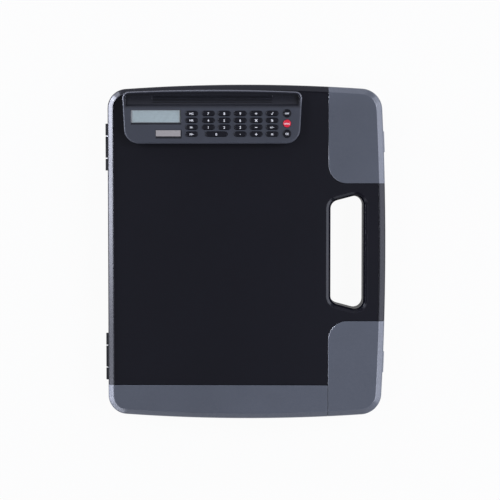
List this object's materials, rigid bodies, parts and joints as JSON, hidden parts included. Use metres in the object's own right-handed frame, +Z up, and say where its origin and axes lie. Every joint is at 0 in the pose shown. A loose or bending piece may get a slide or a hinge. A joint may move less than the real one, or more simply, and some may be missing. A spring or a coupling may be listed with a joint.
{
  "type": "document case",
  "caption": "Flat hinged plastic storage case with a writing lid, a handle hole, side latches and a spring clip that carries a solar calculator.",
  "frame": {"origin": "middle of the case's underside, at the bottom centre of the closed case's box", "axes": "+X from the hinges towards the latches, +Y towards the clip, +Z up out of the lid"},
  "size_m": [0.307, 0.366, 0.0512],
  "materials": {
    "black_shell": "fine grained black plastic",
    "grey_trim": "satin grey plastic",
    "grey_latch": "satin grey plastic",
    "clip_grey": "satin dark grey plastic",
    "steel": "plain steel",
    "spring_steel": "spring wire",
    "rubber_pad": "black rubber",
    "board": "green board",
    "membrane": "grey silicone rubber",
    "cell_steel": "bright steel",
    "window_clear": "clear plastic",
    "display_glass": "pale blue green display",
    "solar": "greyish solar cell",
    "key_black": "black rubber key",
    "key_red": "red rubber key"
  },
  "bodies": {
    "base": {"base_shell": "black_shell", "hinge_pins": "steel"},
    "lid": {"lid_shell": "black_shell", "band_trim": "grey_trim", "corner_trim_upper": "grey_trim", "corner_trim_lower": "grey_trim", "latch_pins": "steel", "clip_bracket": "steel", "bracket_rivets": "steel", "clip_pivot_rod": "steel", "clip_springs": "spring_steel"},
    "clip": {"clip_housing": "clip_grey", "clip_cover": "clip_grey", "cover_screws": "steel", "jaw_pad": "rubber_pad", "circuit_board": "board", "keypad_membrane": "membrane", "button_cell": "cell_steel", "cell_holder": "clip_grey", "display_window": "window_clear", "display_panel": "display_glass", "zebra_strip": "membrane", "solar_cell": "solar"},
    "latch_upper": {"latch_upper": "grey_latch"},
    "latch_lower": {"latch_lower": "grey_latch"},
    "key_mc": {"key_mc": "key_black"},
    "key_7": {"key_7": "key_black"},
    "key_8": {"key_8": "key_black"},
    "key_9": {"key_9": "key_black"},
    "key_divide": {"key_divide": "key_black"},
    "key_root": {"key_root": "key_black"},
    "key_mr": {"key_mr": "key_black"},
    "key_4": {"key_4": "key_black"},
    "key_5": {"key_5": "key_black"},
    "key_6": {"key_6": "key_black"},
    "key_multiply": {"key_multiply": "key_black"},
    "key_percent": {"key_percent": "key_black"},
    "key_m_minus": {"key_m_minus": "key_black"},
    "key_1": {"key_1": "key_black"},
    "key_2": {"key_2": "key_black"},
    "key_3": {"key_3": "key_black"},
    "key_minus": {"key_minus": "key_black"},
    "key_sign": {"key_sign": "key_black"},
    "key_m_plus": {"key_m_plus": "key_black"},
    "key_point": {"key_point": "key_black"},
    "key_plus": {"key_plus": "key_black"},
    "key_equals": {"key_equals": "key_black"},
    "key_0": {"key_0": "key_black"},
    "key_off": {"key_off": "key_black"},
    "key_on_clear": {"key_on_clear": "key_red"},
    "key_clear_entry": {"key_clear_entry": "key_black"}
  },
  "joints": [
    {"name": "lid_hinge", "type": "hinge", "parent": "base", "child": "lid", "pos_m": [-0.1509, 0, 0.02615], "axis": [0, -1, 0], "range_deg": [0, 180]},
    {"name": "clip_pivot", "type": "hinge", "parent": "lid", "child": "clip", "pos_m": [-0.0355, 0.1576, 0.0412], "axis": [-1, 0, 0], "range_deg": [0, 11], "stiffness_Nm_per_rad": 1.5, "springref_deg": -22.92, "deforming": ["clip_springs"]},
    {"name": "latch_upper_pivot", "type": "hinge", "parent": "lid", "child": "latch_upper", "pos_m": [0.14943, 0.12073, 0.0289], "axis": [0.0393, -0.9992, 0], "range_deg": [0, 80]},
    {"name": "latch_lower_pivot", "type": "hinge", "parent": "lid", "child": "latch_lower", "pos_m": [0.14943, -0.12073, 0.0289], "axis": [-0.0393, -0.9992, 0], "range_deg": [0, 80]},
    {"name": "key_mc_press", "type": "slide", "parent": "clip", "child": "key_mc", "axis": [0, 0, -1], "range_m": [0, 0.001], "stiffness_N_per_m": 500, "deforming": ["keypad_membrane"]},
    {"name": "key_7_press", "type": "slide", "parent": "clip", "child": "key_7", "axis": [0, 0, -1], "range_m": [0, 0.001], "stiffness_N_per_m": 500, "deforming": ["keypad_membrane"]},
    {"name": "key_8_press", "type": "slide", "parent": "clip", "child": "key_8", "axis": [0, 0, -1], "range_m": [0, 0.001], "stiffness_N_per_m": 500, "deforming": ["keypad_membrane"]},
    {"name": "key_9_press", "type": "slide", "parent": "clip", "child": "key_9", "axis": [0, 0, -1], "range_m": [0, 0.001], "stiffness_N_per_m": 500, "deforming": ["keypad_membrane"]},
    {"name": "key_divide_press", "type": "slide", "parent": "clip", "child": "key_divide", "axis": [0, 0, -1], "range_m": [0, 0.001], "stiffness_N_per_m": 500, "deforming": ["keypad_membrane"]},
    {"name": "key_root_press", "type": "slide", "parent": "clip", "child": "key_root", "axis": [0, 0, -1], "range_m": [0, 0.001], "stiffness_N_per_m": 500, "deforming": ["keypad_membrane"]},
    {"name": "key_mr_press", "type": "slide", "parent": "clip", "child": "key_mr", "axis": [0, 0, -1], "range_m": [0, 0.001], "stiffness_N_per_m": 500, "deforming": ["keypad_membrane"]},
    {"name": "key_4_press", "type": "slide", "parent": "clip", "child": "key_4", "axis": [0, 0, -1], "range_m": [0, 0.001], "stiffness_N_per_m": 500, "deforming": ["keypad_membrane"]},
    {"name": "key_5_press", "type": "slide", "parent": "clip", "child": "key_5", "axis": [0, 0, -1], "range_m": [0, 0.001], "stiffness_N_per_m": 500, "deforming": ["keypad_membrane"]},
    {"name": "key_6_press", "type": "slide", "parent": "clip", "child": "key_6", "axis": [0, 0, -1], "range_m": [0, 0.001], "stiffness_N_per_m": 500, "deforming": ["keypad_membrane"]},
    {"name": "key_multiply_press", "type": "slide", "parent": "clip", "child": "key_multiply", "axis": [0, 0, -1], "range_m": [0, 0.001], "stiffness_N_per_m": 500, "deforming": ["keypad_membrane"]},
    {"name": "key_percent_press", "type": "slide", "parent": "clip", "child": "key_percent", "axis": [0, 0, -1], "range_m": [0, 0.001], "stiffness_N_per_m": 500, "deforming": ["keypad_membrane"]},
    {"name": "key_m_minus_press", "type": "slide", "parent": "clip", "child": "key_m_minus", "axis": [0, 0, -1], "range_m": [0, 0.001], "stiffness_N_per_m": 500, "deforming": ["keypad_membrane"]},
    {"name": "key_1_press", "type": "slide", "parent": "clip", "child": "key_1", "axis": [0, 0, -1], "range_m": [0, 0.001], "stiffness_N_per_m": 500, "deforming": ["keypad_membrane"]},
    {"name": "key_2_press", "type": "slide", "parent": "clip", "child": "key_2", "axis": [0, 0, -1], "range_m": [0, 0.001], "stiffness_N_per_m": 500, "deforming": ["keypad_membrane"]},
    {"name": "key_3_press", "type": "slide", "parent": "clip", "child": "key_3", "axis": [0, 0, -1], "range_m": [0, 0.001], "stiffness_N_per_m": 500, "deforming": ["keypad_membrane"]},
    {"name": "key_minus_press", "type": "slide", "parent": "clip", "child": "key_minus", "axis": [0, 0, -1], "range_m": [0, 0.001], "stiffness_N_per_m": 500, "deforming": ["keypad_membrane"]},
    {"name": "key_sign_press", "type": "slide", "parent": "clip", "child": "key_sign", "axis": [0, 0, -1], "range_m": [0, 0.001], "stiffness_N_per_m": 500, "deforming": ["keypad_membrane"]},
    {"name": "key_m_plus_press", "type": "slide", "parent": "clip", "child": "key_m_plus", "axis": [0, 0, -1], "range_m": [0, 0.001], "stiffness_N_per_m": 500, "deforming": ["keypad_membrane"]},
    {"name": "key_point_press", "type": "slide", "parent": "clip", "child": "key_point", "axis": [0, 0, -1], "range_m": [0, 0.001], "stiffness_N_per_m": 500, "deforming": ["keypad_membrane"]},
    {"name": "key_plus_press", "type": "slide", "parent": "clip", "child": "key_plus", "axis": [0, 0, -1], "range_m": [0, 0.001], "stiffness_N_per_m": 500, "deforming": ["keypad_membrane"]},
    {"name": "key_equals_press", "type": "slide", "parent": "clip", "child": "key_equals", "axis": [0, 0, -1], "range_m": [0, 0.001], "stiffness_N_per_m": 500, "deforming": ["keypad_membrane"]},
    {"name": "key_0_press", "type": "slide", "parent": "clip", "child": "key_0", "axis": [0, 0, -1], "range_m": [0, 0.001], "stiffness_N_per_m": 500, "deforming": ["keypad_membrane"]},
    {"name": "key_off_press", "type": "slide", "parent": "clip", "child": "key_off", "axis": [0, 0, -1], "range_m": [0, 0.001], "stiffness_N_per_m": 500, "deforming": ["keypad_membrane"]},
    {"name": "key_on_clear_press", "type": "slide", "parent": "clip", "child": "key_on_clear", "axis": [0, 0, -1], "range_m": [0, 0.001], "stiffness_N_per_m": 500, "deforming": ["keypad_membrane"]},
    {"name": "key_clear_entry_press", "type": "slide", "parent": "clip", "child": "key_clear_entry", "axis": [0, 0, -1], "range_m": [0, 0.001], "stiffness_N_per_m": 500, "deforming": ["keypad_membrane"]}
  ]
}
